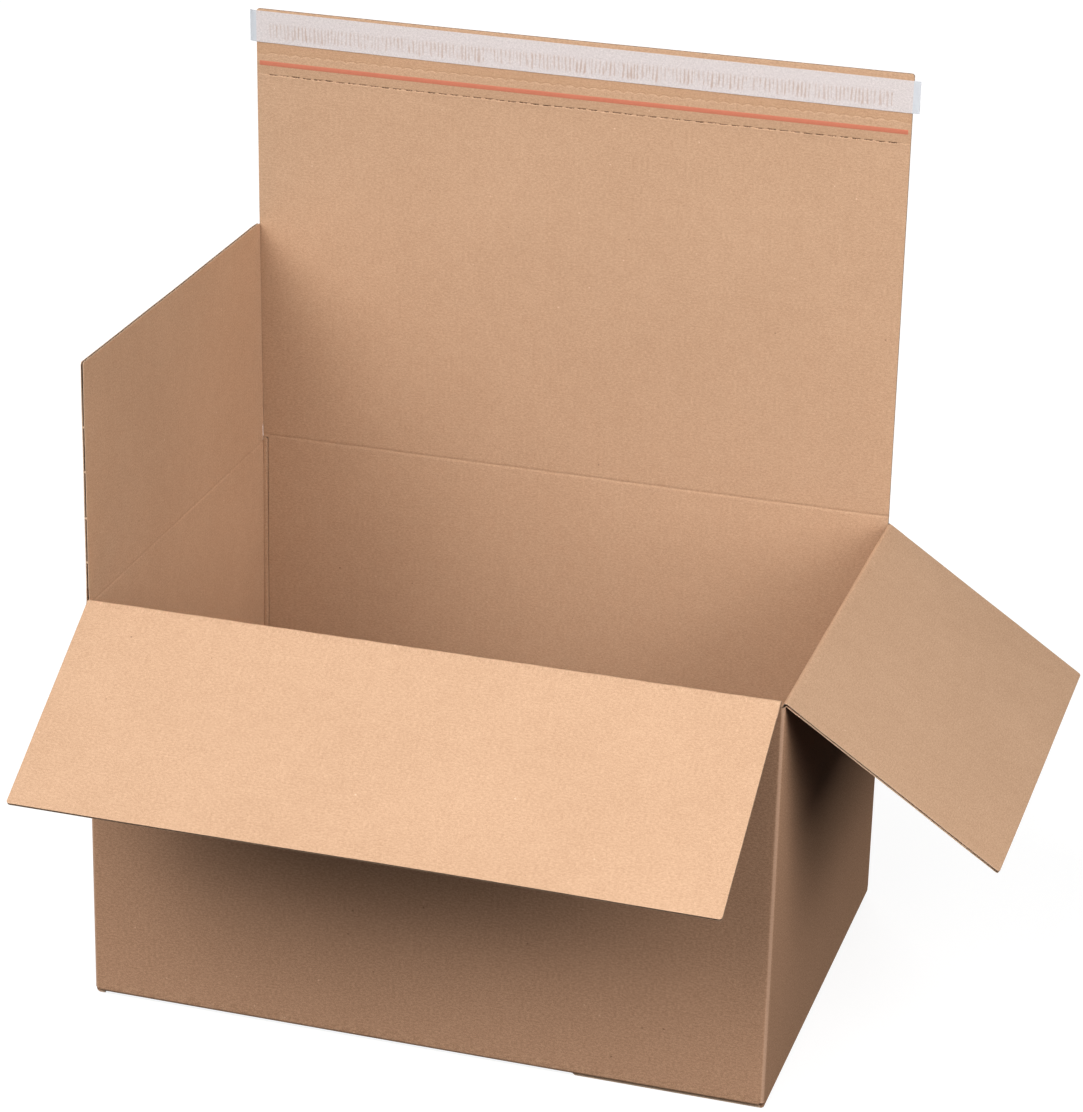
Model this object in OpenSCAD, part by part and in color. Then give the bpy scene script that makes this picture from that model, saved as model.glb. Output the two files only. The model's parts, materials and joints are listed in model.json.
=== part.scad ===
// Auto bottom carton with a self-seal lid, standing open, in millimetres.
// It is folded from one blank of corrugated board: four walls in a ring, a glue flap at the back left
// corner, four bottom flaps that lock themselves when the flat carton is opened, and four top flaps.
// The origin is at floor level, in the middle of the footprint.
// +X runs to the right along the front, +Y to the back and +Z up.

/* [Board] */
// Thickness of the corrugated board
board_t = 1.55; // [1.3:0.05:1.8]
// Thickness of each of the board's two facings
facing_t = 0.3; // [0.2:0.05:0.4]
// Thickness of the fluted sheet between the facings
flute_t = 0.3; // [0.2:0.05:0.4]
// Distance from one flute to the next
flute_pitch = 3.27; // [2.6:0.01:4.2]
// Depth of the open flute ends in the flaps' free edges
mouth_depth = 4; // [2:0.5:8]
// Depth of the open channel in the flaps' side edges
channel_depth = 0.9; // [0.5:0.1:1.2]
// Outer radius of the folded corners, along the walls and the bottom
fold_r = 2.2; // [2:0.1:3.5]
// Air between two plies of board that lie on each other
ply_gap = 0.15; // [0.1:0.05:0.3]

/* [Walls] */
// Outside width, left to right
carton_w = 350; // [300:1:420]
// Outside depth, front to back
carton_d = 241; // [210:1:290]
// Height of the creases on top of the side walls
side_crease_h = 215.5; // [170:0.5:260]

/* [Creases of the top flaps] */
// Half of the slit between a wall and its flap, at the outer face
crease_gap = 0.2; // [0.15:0.05:0.4]
// Air between two closed top flaps
closed_gap = 0.3; // [0.2:0.05:0.6]

/* [Top flaps] */
// How far the closed lid stops short of the front wall's outer face
lid_setback = 3; // [0.5:0.5:6]
// Length of the front flap
front_flap_len = 118; // [80:1:150]
// Length of the two side flaps
side_flap_len = 125; // [80:1:140]
// Inset of the front and lid flaps from the outer face of the side walls
major_inset = 1.8; // [1.8:0.1:4]
// Inset of the lid's left edge, which has no wall below it at its very end
lid_left_inset = 1.9; // [1.9:0.1:4]
// Inset of the side flaps from the front wall's outer face
side_front_inset = 2; // [1.9:0.1:5]
// Air between the upright side flaps and the leaning lid
side_lid_gap = 0.4; // [0.4:0.1:2]
// Radius of the flaps' free corners
flap_corner_r = 1.5; // [0.5:0.5:6]

/* [How the top flaps stand] */
// Forward lean of the lid
lid_lean = 1.5; // [0:0.5:3]
// How far the front flap has been folded out from upright
front_fold_angle = 122; // [90:1:150]
// How far the right flap has been folded out from upright
right_fold_angle = 123.5; // [90:0.5:150]

/* [Self-seal strip] */
// Width of the release liner
liner_w = 16.7; // [15:0.1:26]
// Thickness of the release liner
liner_t = 0.12; // [0.1:0.01:0.15]
// Distance from the lid's free edge to the middle of the release liner
liner_mid = 10.4; // [10:0.1:14]
// How far the release liner sticks out past the lid's right edge
liner_over_right = 3.6; // [1:0.1:6]
// How far the release liner sticks out past the lid's left edge
liner_over_left = 0.1; // [0:0.05:0.1]
// How far the release liner is laid askew
liner_skew = 0.4; // [0:0.05:0.4]
// Width of the hot-melt adhesive band
adhesive_w = 9.5; // [6:0.5:12]
// Thickness of the hot-melt adhesive band
adhesive_t = 0.15; // [0.1:0.01:0.2]
// How far the adhesive band stops short of the lid's edges
adhesive_inset = 7; // [4:0.5:30]
// Width of one rib of the adhesive band
adhesive_rib = 1.4; // [0.8:0.1:3]
// Distance from one rib of the adhesive band to the next
adhesive_pitch = 4.4; // [3:0.1:8]

/* [Tear strip] */
// Width of the tear thread
thread_w = 2.4; // [1.5:0.1:4]
// Thickness of the tear thread
thread_t = 0.12; // [0.08:0.01:0.2]
// Distance from the lid's free edge to the middle of the tear thread
thread_mid = 29.3; // [27.5:0.1:33]
// How far the tear thread stops short of the lid's edges
thread_inset = 1.5; // [0.5:0.5:4]
// Distance from the lid's free edge to the scalloped perforation
scallop_line = 24.1; // [22.5:0.1:25.5]
// Distance from the lid's free edge to the dashed perforation
dash_line = 35.2; // [33:0.1:40]
// Distance from one perforation cut to the next
perf_pitch = 6.2; // [5:0.1:9]
// Length of one perforation cut
perf_cut = 4.2; // [3:0.1:4.5]
// Width of a perforation cut
perf_w = 0.35; // [0.25:0.05:0.5]
// Rise of one scallop
scallop_rise = 0.9; // [0.5:0.1:1.4]

/* [Glued corner joint] */
// Width of the glue flap on the back wall
glue_flap_w = 36; // [25:1:50]
// How much lower each end of the glue flap is at its free edge
glue_flap_taper = 6; // [3:1:12]
// Distance of the back wall's raw edge from the left wall's outer face
raw_edge_inset = 4.6; // [3:0.1:6]

/* [Self-locking bottom] */
// Inset of each bottom flap from the corners
bottom_inset = 2.6; // [2.5:0.1:5]
// Length of the two side bottom flaps
minor_len = 108; // [90:1:120]
// Length of the side bottom flaps at the end without a glued wing
minor_tail = 42; // [34:1:60]
// Slant of the side bottom flaps at the end without a glued wing
tail_slant = 30; // [15:1:45]
// Bevelled corner of the glued wing
wing_bevel = 12; // [5:1:25]
// Rim of the glued wing that stays free of glue
glue_rim = 7; // [4:1:12]
// Slit between the front and the back bottom flap
centre_slit = 0.6; // [0.4:0.1:1.5]
// How far each locking tab reaches past the middle
lock_reach = 22; // [12:1:32]
// Width of each locking tab
lock_w = 96; // [60:1:120]
// Radius of the locking tab's corners
lock_r = 11; // [4:1:12]
// Length of the ramp on which a locking tab climbs over the other flap
lock_ramp = 9; // [6:1:15]
// Width of the corner cut off the free end of the front and back bottom flaps
major_cut = 58; // [30:1:70]
// Depth of the pressed diagonal creases
crease_depth = 0.35; // [0.2:0.05:0.5]

/* [Hidden] */
$fn = 48;

// A little more than a face, for cuts that run through it
OVER = 1;
// Depth to which a wall's top strip reaches down into the wall
STRIP_LAP = 8;
// Start of the glued wing's outer edge and of the free flap end, off the crease
CUT_START = 8;
// Colours of the outside liner, the inside liner, the flaps in the light, and the strip's parts
BOARD_BROWN = [0.66, 0.50, 0.37];
FLAP_BROWN = [0.80, 0.63, 0.49];
LINER_WHITE = [0.90, 0.87, 0.86];
GLUE_TAN = [0.82, 0.72, 0.62];
THREAD_RED = [0.84, 0.38, 0.30];

half_w = carton_w / 2;
half_d = carton_d / 2;
// Heights of the creases, stepped so that the closed flaps lie on each other
front_crease_h = side_crease_h + board_t + closed_gap;
strip_t = adhesive_t + liner_t;
lid_crease_h = front_crease_h + board_t + strip_t + closed_gap;
lid_len = carton_d - lid_setback;
lid_w = carton_w - lid_left_inset - major_inset;
lid_mid_x = (lid_left_inset - major_inset) / 2;
front_flap_w = carton_w - 2 * major_inset;
// The side flaps end clear of the lid, which leans over them
side_back_inset = board_t + side_flap_len * tan(lid_lean) + side_lid_gap;
side_flap_w = carton_d - side_front_inset - side_back_inset;
side_flap_mid_y = (side_front_inset - side_back_inset) / 2;
// Heights of the undersides of the bottom's second and third ply
ply_2 = board_t + ply_gap;
ply_3 = 2 * ply_2;
// Height at which the ring of walls starts, above the folds along the bottom
ring_z = ply_2 + fold_r;
bottom_half_w = half_w - bottom_inset;
bottom_half_d = half_d - bottom_inset;

// Local frame of one wall: X along the wall, Y inward from its outer face, Z up
module at_wall(turn, reach) {
    rotate([0, 0, turn]) translate([0, -reach, 0]) children();
}

// A section drawn in (Y, Z), drawn out along X
module along_x(length) {
    translate([-length / 2, 0, 0]) rotate([90, 0, 90]) linear_extrude(length) children();
}

// An outline drawn in (X, Z), through more than the board's thickness
module through_board() {
    translate([0, board_t + OVER, 0]) rotate([90, 0, 0]) linear_extrude(board_t + 2 * OVER) children();
}

// A rectangle with round corners, from low to high corner
module rounded_rect(x0, y0, x1, y1, r) {
    translate([x0 + r, y0]) square([x1 - x0 - 2 * r, y1 - y0]);
    translate([x0, y0 + r]) square([x1 - x0, y1 - y0 - 2 * r]);
    for (x = [x0 + r, x1 - r], y = [y0 + r, y1 - r]) translate([x, y]) circle(r);
}

// Section of a right-angled fold in the board, with its outer corner at the origin
module quarter_fold() {
    intersection() {
        square(fold_r);
        translate([fold_r, fold_r]) difference() {
            circle(fold_r);
            circle(fold_r - board_t);
        }
    }
}

// Section of a board folded from a wall's foot into the bottom, in (inward, up)
module foot_section(rise, reach) {
    translate([0, fold_r]) square([board_t, rise - fold_r]);
    translate([fold_r, 0]) square([reach - fold_r, board_t]);
    quarter_fold();
}

// The four walls seen from above, with the back wall cut short at its raw edge
module wall_ring() {
    inner_r = fold_r - board_t;
    difference() {
        rounded_rect(-half_w, -half_d, half_w, half_d, fold_r);
        rounded_rect(-half_w + board_t, -half_d + board_t, half_w - board_t, half_d - board_t, inner_r);
        translate([-half_w - OVER, half_d - fold_r]) square([raw_edge_inset + OVER, fold_r + OVER]);
    }
}

// The back left corner seen from above: the left wall turns into the glue flap behind the back wall
module glue_corner() {
    outer_y = half_d + board_t;
    translate([-half_w, half_d - 2 * fold_r]) square([board_t, outer_y + fold_r - half_d]);
    translate([-half_w + fold_r, half_d]) square([glue_flap_w - fold_r, board_t]);
    translate([-half_w, outer_y]) mirror([0, 1]) quarter_fold();
}

// The glue flap with its slanted ends
module glue_flap() {
    top = side_crease_h - crease_gap;
    intersection() {
        translate([0, 0, ring_z]) linear_extrude(top - ring_z) glue_corner();
        translate([0, half_d + board_t + OVER, 0]) rotate([90, 0, 0]) linear_extrude(board_t + 3 * fold_r + OVER)
            polygon([
                [-half_w - OVER, ring_z - OVER], [-half_w + fold_r, ring_z - OVER],
                [-half_w + fold_r, ring_z], [-half_w + glue_flap_w + OVER, ring_z + glue_flap_taper],
                [-half_w + glue_flap_w + OVER, top - glue_flap_taper], [-half_w + fold_r, top],
                [-half_w + fold_r, top + OVER], [-half_w - OVER, top + OVER]
            ]);
    }
}

// Top strip of a wall, up to its crease, mitred so that the closed flap meets it
module wall_top(length, crease_h) {
    top = crease_h - crease_gap;
    low = side_crease_h - STRIP_LAP;
    along_x(length) polygon([[0, low], [0, top], [board_t, top - board_t], [board_t, low]]);
}

// What is cut off a side wall's inner top edge to mitre it
module side_mitre() {
    top = side_crease_h - crease_gap;
    along_x(carton_d - 2 * board_t) polygon([[0, top], [board_t, top - board_t], [board_t + OVER, top - board_t],
        [board_t + OVER, top + OVER], [0, top + OVER]]);
}

// Outline of a side bottom flap, with its wing at the local left end
module minor_outline() {
    polygon([
        [-bottom_half_d, fold_r], [-bottom_half_d, minor_len - wing_bevel],
        [-bottom_half_d + wing_bevel, minor_len], [-half_d + minor_len, minor_len],
        [bottom_half_d - tail_slant, minor_tail], [bottom_half_d, fold_r]
    ]);
}

// Glue between a wing and the flap above it, a triangle beside the diagonal crease
module wing_glue() {
    diagonal_rim = glue_rim * sqrt(2);
    end_y = minor_len - glue_rim;
    polygon([
        [-bottom_half_d + glue_rim, glue_rim + diagonal_rim + bottom_inset],
        [-bottom_half_d + glue_rim, end_y - wing_bevel],
        [-bottom_half_d + glue_rim + wing_bevel, end_y],
        [-half_d + end_y - diagonal_rim, end_y]
    ]);
}

// One side bottom flap, with the pressed crease that lets its wing fold back
module minor_bottom_flap() {
    along_x(2 * bottom_half_d) foot_section(ring_z, 2 * fold_r);
    difference() {
        linear_extrude(board_t) minor_outline();
        translate([-half_d, 0, 0]) rotate([0, 0, 45]) rotate([45, 0, 0])
            translate([0, -crease_depth, -crease_depth]) cube([2 * minor_len, 2 * crease_depth, 2 * crease_depth]);
    }
    translate([0, 0, board_t]) linear_extrude(ply_gap) wing_glue();
}

// Outline of the flat part of the front bottom flap; its locking tab is on the local left
module major_outline() {
    edge = half_d - centre_slit / 2;
    tab_root = edge - lock_ramp;
    polygon([
        [-bottom_half_w, fold_r], [-bottom_half_w, CUT_START], [-bottom_half_w + major_cut, edge],
        [-centre_slit - lock_w, edge], [-centre_slit - lock_w, tab_root],
        [-centre_slit, tab_root], [-centre_slit, edge],
        [bottom_half_w, edge], [bottom_half_w, fold_r]
    ]);
}

// Section of a locking tab in (inward, up): it climbs over the edge of the flap opposite
module lock_section() {
    edge = half_d - centre_slit / 2;
    polygon([
        [edge - lock_ramp - board_t, ply_2], [edge - lock_ramp, ply_2], [edge, ply_3], [half_d + lock_reach, ply_3],
        [half_d + lock_reach, ply_3 + board_t], [edge, ply_3 + board_t], [edge - lock_ramp, ply_2 + board_t],
        [edge - lock_ramp - board_t, ply_2 + board_t]
    ]);
}

// The locking tab with its round corners
module lock_tab() {
    intersection() {
        translate([-centre_slit - lock_w / 2, 0, 0]) along_x(lock_w) lock_section();
        linear_extrude(3 * ply_3)
            rounded_rect(-centre_slit - lock_w, half_d - 3 * lock_ramp, -centre_slit, half_d + lock_reach, lock_r);
    }
}

// The front bottom flap, in the second ply
module major_bottom_flap() {
    translate([0, 0, ply_2]) {
        along_x(2 * bottom_half_w) foot_section(fold_r + OVER, 2 * fold_r);
        linear_extrude(board_t) major_outline();
    }
    lock_tab();
}

// Half of the self-locking bottom; the other half is the same, turned half round
module half_bottom() {
    at_wall(0, half_d) major_bottom_flap();
    at_wall(90, half_w) minor_bottom_flap();
}

// Walls, glue flap and bottom, all of one blank
module carton_body() {
    color(BOARD_BROWN) {
        difference() {
            union() {
                translate([0, 0, ring_z]) linear_extrude(side_crease_h - crease_gap - ring_z) wall_ring();
                glue_flap();
            }
            for (turn = [90, 270]) at_wall(turn, half_w) side_mitre();
        }
        at_wall(0, half_d) wall_top(front_flap_w, front_crease_h);
        translate([(raw_edge_inset - major_inset) / 2, 0, 0])
            at_wall(180, half_d) wall_top(carton_w - raw_edge_inset - major_inset, lid_crease_h);
        for (turn = [0, 180]) rotate([0, 0, turn]) half_bottom();
    }
}

// Open flute ends in a flap's free edge, on either side of the fluted sheet by turns
module flute_mouths(width, length) {
    core_t = board_t - 2 * facing_t;
    rise = core_t - flute_t;
    half_base = (flute_pitch - flute_t) / 2;
    flutes = floor((width - 2 * flap_corner_r - 2 * channel_depth - 2 * flute_pitch) / flute_pitch);
    translate([-flutes * flute_pitch / 2, facing_t, length - mouth_depth]) linear_extrude(mouth_depth + OVER)
        for (i = [0 : flutes]) {
            x = i * flute_pitch;
            top_x = x + flute_pitch / 2;
            polygon([[x - half_base, 0], [x + half_base, 0], [x, rise]]);
            polygon([[top_x - half_base, core_t], [top_x, core_t - rise], [top_x + half_base, core_t]]);
        }
}

// Open channels between the facings, along a flap's two side edges
module side_channels(width, length) {
    low = crease_gap + board_t;
    for (side = [-1, 1]) translate([side * width / 2 - channel_depth, facing_t, low])
        cube([2 * channel_depth, board_t - 2 * facing_t, length - low - flap_corner_r]);
}

// A top flap standing up from its crease at Z = 0, mitred at the crease
module top_flap(width, length) {
    difference() {
        intersection() {
            along_x(width) polygon([[0, crease_gap], [board_t, crease_gap + board_t], [board_t, length], [0, length]]);
            through_board() rounded_rect(-width / 2, -length, width / 2, length, flap_corner_r);
        }
        flute_mouths(width, length);
        side_channels(width, length);
    }
}

// Puts a top flap on its wall; fold is how far it leans outward from upright
module on_crease(turn, reach, crease_h, shift, fold) {
    at_wall(turn, reach) translate([shift, 0, crease_h]) rotate([fold, 0, 0]) children();
}

module on_lid_crease() {
    on_crease(180, half_d, lid_crease_h, -lid_mid_x, -lid_lean) children();
}

// One scallop of the perforation, cut as an arc that rises towards the lid's free edge
module scallop() {
    arc_r = (perf_cut * perf_cut / 4 + scallop_rise * scallop_rise) / (2 * scallop_rise);
    intersection() {
        translate([0, scallop_rise - arc_r]) difference() {
            circle(arc_r);
            circle(arc_r - perf_w);
        }
        translate([-perf_cut / 2, -perf_w]) square([perf_cut, scallop_rise + 2 * perf_w]);
    }
}

// Both lines of perforation cuts, from edge to edge of the lid
module perforations() {
    cuts = floor((lid_w - perf_pitch) / perf_pitch);
    for (i = [0 : cuts - 1]) {
        x = (i - (cuts - 1) / 2) * perf_pitch;
        translate([x, lid_len - scallop_line]) scallop();
        translate([x - perf_cut / 2, lid_len - dash_line - perf_w / 2]) square([perf_cut, perf_w]);
    }
}

module lid() {
    color(FLAP_BROWN) on_lid_crease() difference() {
        top_flap(lid_w, lid_len);
        through_board() perforations();
    }
}

module front_flap() {
    color(FLAP_BROWN) on_crease(0, half_d, front_crease_h, 0, front_fold_angle) top_flap(front_flap_w, front_flap_len);
}

module left_flap() {
    color(FLAP_BROWN) on_crease(270, half_w, side_crease_h, -side_flap_mid_y, 0) top_flap(side_flap_w, side_flap_len);
}

module right_flap() {
    color(FLAP_BROWN) on_crease(90, half_w, side_crease_h, side_flap_mid_y, right_fold_angle)
        top_flap(side_flap_w, side_flap_len);
}

// Places something on the lid's inner face, off from its free edge
module on_lid_face(off, layer) {
    on_lid_crease() translate([0, board_t + layer, lid_len - off]) children();
}

// A band of hot-melt adhesive with upright ribs, from the comb nozzle that laid it
module adhesive_strip() {
    length = lid_w - 2 * adhesive_inset;
    ribs = floor(length / adhesive_pitch);
    color(GLUE_TAN) on_lid_face(liner_mid, 0) {
        translate([-length / 2, 0, -adhesive_w / 4]) cube([length, adhesive_t, adhesive_w / 2]);
        for (i = [0 : ribs - 1]) translate([(i - (ribs - 1) / 2) * adhesive_pitch - adhesive_rib / 2, 0, -adhesive_w / 2])
            cube([adhesive_rib, adhesive_t, adhesive_w]);
    }
}

// The release liner; seen from the lid's inner face, local +X is to the left
module release_liner() {
    length = lid_w + liner_over_left + liner_over_right;
    shift = (liner_over_left - liner_over_right) / 2;
    color(LINER_WHITE) on_lid_face(liner_mid, adhesive_t) rotate([0, liner_skew, 0])
        translate([shift - length / 2, 0, -liner_w / 2]) cube([length, liner_t, liner_w]);
}

module tear_thread() {
    length = lid_w - 2 * thread_inset;
    color(THREAD_RED) on_lid_face(thread_mid, 0)
        translate([-length / 2, 0, -thread_w / 2]) cube([length, thread_t, thread_w]);
}

carton_body();
lid();
front_flap();
left_flap();
right_flap();
adhesive_strip();
release_liner();
tear_thread();
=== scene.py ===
"""Looks of the auto bottom carton: corrugated board with real flutes, soft creases and a self-seal strip.

Lengths in this file are in millimetres until a mesh or the camera is made, where MM turns them to metres.
Lights, the floor and the depths of the materials' bumps are in metres.
"""

import json
import math

import bmesh
import bpy
import numpy as np
from mathutils import Matrix, Vector


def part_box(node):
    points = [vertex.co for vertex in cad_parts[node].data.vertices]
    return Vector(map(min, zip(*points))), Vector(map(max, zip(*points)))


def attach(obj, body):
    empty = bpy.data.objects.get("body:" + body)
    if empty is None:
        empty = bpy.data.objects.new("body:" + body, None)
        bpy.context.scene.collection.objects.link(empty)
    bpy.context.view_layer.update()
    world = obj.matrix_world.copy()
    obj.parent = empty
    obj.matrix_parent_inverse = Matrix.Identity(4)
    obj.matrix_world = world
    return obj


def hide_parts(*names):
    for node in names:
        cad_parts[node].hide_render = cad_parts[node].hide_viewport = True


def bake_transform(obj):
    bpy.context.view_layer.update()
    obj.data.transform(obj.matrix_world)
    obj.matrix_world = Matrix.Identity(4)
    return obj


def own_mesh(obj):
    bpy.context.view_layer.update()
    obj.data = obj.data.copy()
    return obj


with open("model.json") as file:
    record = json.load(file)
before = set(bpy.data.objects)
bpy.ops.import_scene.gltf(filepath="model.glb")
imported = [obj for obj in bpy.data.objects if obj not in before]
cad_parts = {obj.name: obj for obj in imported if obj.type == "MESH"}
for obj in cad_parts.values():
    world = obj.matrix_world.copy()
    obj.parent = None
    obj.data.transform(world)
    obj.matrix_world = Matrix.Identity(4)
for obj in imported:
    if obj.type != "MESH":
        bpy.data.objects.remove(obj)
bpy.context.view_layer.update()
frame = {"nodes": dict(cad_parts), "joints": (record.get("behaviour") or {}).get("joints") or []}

MM = 0.001
RNG = np.random.default_rng(7)

# The board
BOARD_T = 1.55
FACING_T = 0.28
MEDIUM_T = 0.22
FLUTE_PITCH = 3.27
FOLD_R = 2.2

# The carton, read from the frame
BODY_LOW = np.array(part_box("carton_body")[0]) / MM
HALF_W = -BODY_LOW[0]
HALF_D = -BODY_LOW[1]
HINGE = {j["child"]: np.array(j["pos_m"]) / MM for j in frame["joints"]}
CREASE_GAP = 0.2
SIDE_TOP = HINGE["left_flap"][2] - CREASE_GAP

# How the flaps stand, outward from upright
LID_LEAN = 1.5
FRONT_FOLD = 122
RIGHT_FOLD = 123.5

# The flaps: ends along their crease, and length
LID_ENDS = (-173.4, 173.2)
FRONT_ENDS = (-173.2, 173.2)
SIDE_ENDS = (-118.5, 115.28)
LEFT_CREASE_END = 118.88
LEFT_TIP_END = 115.53
LID_LEN = 238
FRONT_LEN = 118
SIDE_LEN = 125
CORNER_R = 1.5
EDGE_PRESS = 0.08
EDGE_PRESS_W = 0.5
NICKS = (22, 45, 69, 92)

# The bands of the lid, measured from its free edge
LINER_MID = 10.4
LINER_W = 16.7
LINER_OVER = 3.6
SCALLOP_LINE = 24.1
THREAD_MID = 29.3
THREAD_W = 2.4
DASH_LINE = 35.2
STROKE_PITCH = 2.0
PERF_PITCH = 6.2
PERF_CUT = 4.2
SCALLOP_RISE = 1.2

# Slopes of the liner and of the bands below it, which lie a little askew on the lid
LINER_SKEW = math.tan(math.radians(0.4))
BAND_SKEW = math.tan(math.radians(0.2))

# The glued corner
GLUE_FLAP_W = 36
GLUE_FLAP_TAPER = 6
RAW_EDGE_INSET = 4.6
RING_Z = 3.9

# Where the walls, the folds and the flaps meet
FOLD_BAND = 8
WALL_LOW = 8
WALL_HIGH = SIDE_TOP - FOLD_BAND
CORNER_TOP = HINGE["lid"][2] - 0.6


# Meshes

# Where each kind of face finds its material; a piece of one material has it first
INNER, EDGE, FLUTE, OUTER = 0, 1, 2, 3
ONLY = 0


class Mesh:
    """Collects closed shells of board. Each point keeps its place on the flat board for the materials."""

    def __init__(self):
        self.points, self.flat, self.faces, self.kinds = [], [], [], []
        self.count = 0

    def shell(self, top, bottom, flat, face_kind=INNER, edge_kind=EDGE, back_kind=None):
        """A closed slab between two grids of points; its cut edges and its back have their own materials."""
        rows, cols = top.shape[:2]
        a = self.count
        b = a + rows * cols
        self.points += [top.reshape(-1, 3), bottom.reshape(-1, 3)]
        self.flat += [flat.reshape(-1, 3)] * 2
        self.count = b + rows * cols
        r, c = np.mgrid[0:rows - 1, 0:cols - 1]
        quad = (r * cols + c).ravel()
        around = np.stack([quad, quad + 1, quad + cols + 1, quad + cols], 1)
        self.add_faces(a + around, face_kind)
        self.add_faces(b + around[:, ::-1], face_kind if back_kind is None else back_kind)
        rim = np.concatenate([
            np.arange(cols), np.arange(1, rows) * cols + cols - 1,
            (rows - 1) * cols + np.arange(cols - 2, -1, -1), np.arange(rows - 2, 0, -1) * cols,
        ])
        after = np.roll(rim, -1)
        self.add_faces(np.stack([a + rim, b + rim, b + after, a + after], 1), edge_kind)

    def add_faces(self, faces, kind):
        self.faces.append(faces)
        self.kinds.append(np.full(len(faces), kind))

    def build(self, name, materials):
        mesh = bpy.data.meshes.new(name)
        points = np.concatenate(self.points) * MM
        faces = np.concatenate(self.faces)
        mesh.from_pydata(points.tolist(), [], faces.tolist())
        mark_places(mesh, "rest", points / MM)
        mark_places(mesh, "board", np.concatenate(self.flat))
        mesh.polygons.foreach_set("material_index", np.concatenate(self.kinds).astype(np.int32))
        for material in materials:
            mesh.materials.append(material)
        finish_mesh(mesh)
        piece = bpy.data.objects.new(name, mesh)
        bpy.context.scene.collection.objects.link(piece)
        return piece


def mark_places(mesh, name, places):
    """Keeps a place for each point of a mesh under a name that the materials read."""
    kept = mesh.attributes.new(name, "FLOAT_VECTOR", "POINT")
    kept.data.foreach_set("vector", places.astype(np.float32).ravel())


def finish_mesh(mesh, sharp_deg=32):
    """Turns the faces of each closed shell outward and keeps its hard edges sharp."""
    work = bmesh.new()
    work.from_mesh(mesh)
    bmesh.ops.recalc_face_normals(work, faces=work.faces)
    limit = math.radians(sharp_deg)
    for edge in work.edges:
        if edge.is_manifold and edge.calc_face_angle() > limit:
            edge.smooth = False
    for face in work.faces:
        face.smooth = True
    work.to_mesh(mesh)
    work.free()


class Plane:
    """A flat stretch of board: along its crease, up from the crease, and inward from its outer face."""

    def __init__(self, origin, along, up, inward):
        parts = (origin, along, up, inward)
        self.origin, self.along, self.up, self.inward = (np.array(part, float) for part in parts)

    def at(self, u, s, d):
        u, s, d = np.broadcast_arrays(u, s, d)
        return self.origin + u[..., None] * self.along + s[..., None] * self.up + d[..., None] * self.inward


def smooth_step(x, low, high):
    t = np.clip((x - low) / (high - low), 0, 1)
    return t * t * (3 - 2 * t)


def spread(low, high, step):
    """Even stops from low to high, about one step apart."""
    return np.linspace(low, high, max(2, int(round((high - low) / step)) + 1))


def bump(x, width):
    return np.exp(-(x / width) ** 2)


# The flaps

def flap_plane(child, along, outward, fold):
    """The plane of a flap that is folded outward from upright about its crease."""
    up = np.array([0, 0, 1.0])
    out = np.array(outward, float)
    angle = math.radians(fold)
    return Plane(HINGE[child], along, up * math.cos(angle) + out * math.sin(angle),
                 up * math.sin(angle) - out * math.cos(angle))


PLANES = {
    "lid": flap_plane("lid", (1, 0, 0), (0, 1, 0), -LID_LEAN),
    "front_flap": flap_plane("front_flap", (1, 0, 0), (0, -1, 0), FRONT_FOLD),
    "left_flap": flap_plane("left_flap", (0, 1, 0), (-1, 0, 0), 0),
    "right_flap": flap_plane("right_flap", (0, 1, 0), (1, 0, 0), RIGHT_FOLD),
}
FOLDS = {"lid": -LID_LEAN, "front_flap": FRONT_FOLD, "left_flap": 0, "right_flap": RIGHT_FOLD}
ENDS = {"lid": LID_ENDS, "front_flap": FRONT_ENDS, "left_flap": SIDE_ENDS, "right_flap": SIDE_ENDS}
LENGTHS = {"lid": LID_LEN, "front_flap": FRONT_LEN, "left_flap": SIDE_LEN, "right_flap": SIDE_LEN}
OFFSETS = {"lid": 0, "front_flap": 900, "left_flap": 1800, "right_flap": 2700, "walls": 3600}


def warp(name, u, s):
    """How far a flap's board has bowed inward from flat; none along its crease."""
    length = LENGTHS[name]
    low, high = ENDS[name]
    across = (u - low) / (high - low)
    rise = smooth_step(s, FOLD_BAND, length * 0.6)
    shapes = {
        "lid": 0.9 * np.sin(math.pi * across) + 0.35 * np.sin(5.1 * across + 0.7),
        "front_flap": 0.5 * np.sin(math.pi * across) - 0.3 * np.sin(7.3 * across),
        "left_flap": 0.3 * np.sin(math.pi * across) ** 2,
        "right_flap": 0.45 * np.sin(math.pi * across) + 0.2 * np.sin(6.1 * across),
    }
    ripple = 0.05 * np.sin(s / 9.7 + 0.8 * np.sin(u / 31)) + 0.04 * np.sin(u / 13.1 + 1.3)
    curl = 0.4 * bump(u - high, 3) * smooth_step(s, FOLD_BAND, FOLD_BAND + 6) if name == "left_flap" else 0
    return rise * (shapes[name] + ripple) + curl


def corner_pull(name, u, s):
    """Where each point of a flap lies along its crease, once the flap's sides have their real outline.

    The two free corners are rounded, the left flap's back edge slants, and the lid's crease stops at the back
    wall's raw edge.
    """
    low, high = ENDS[name]
    if name == "left_flap":
        back = LEFT_CREASE_END + (LEFT_TIP_END - LEFT_CREASE_END) * np.clip(s / LENGTHS[name], 0, 1)
        u = u + (back - high) * smooth_step(u, low + 0.3 * (high - low), high)
    if name == "lid":
        clear = (RAW_EDGE_INSET - HALF_W - low) * (1 - smooth_step(s, -1.6, -0.6))
        u = u + clear * (1 - smooth_step(u, low, low + 9))
    over = np.clip((s - (LENGTHS[name] - CORNER_R)) / CORNER_R, 0, 1)
    pull = CORNER_R * (1 - np.sqrt(1 - over ** 2))
    middle, half = (low + high) / 2, (high - low) / 2
    return middle + (u - middle) * (half - pull) / half


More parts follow.
